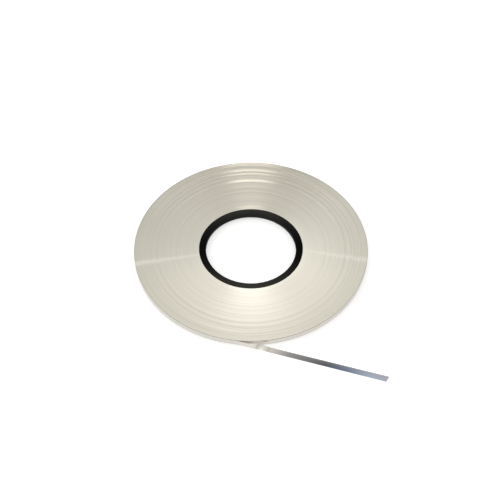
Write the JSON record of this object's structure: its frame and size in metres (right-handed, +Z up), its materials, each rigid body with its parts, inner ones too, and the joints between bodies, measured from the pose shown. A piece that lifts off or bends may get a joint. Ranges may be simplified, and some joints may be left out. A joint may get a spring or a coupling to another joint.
{
  "type": "nickel-plated strip",
  "caption": "Flat pancake coil of narrow bright nickel-plated steel strip wound on a plain plastic core ring, with its outer end pulled free as a short tail.",
  "frame": {"origin": "on the coil's axis, in the plane that the coil rests on", "axes": "+Z up along the core's bore, -Y towards the side where the free tail leaves the coil, +X the way the tail runs off"},
  "size_m": [0.2096, 0.2344, 0.0052],
  "materials": {
    "nickel_plate": "bright nickel plate on cold-rolled steel, with slit edges",
    "core_plastic": "black moulded plastic, satin"
  },
  "bodies": {
    "root": {"wound_strip": "nickel_plate", "core_ring": "core_plastic"}
  },
  "joints": []
}
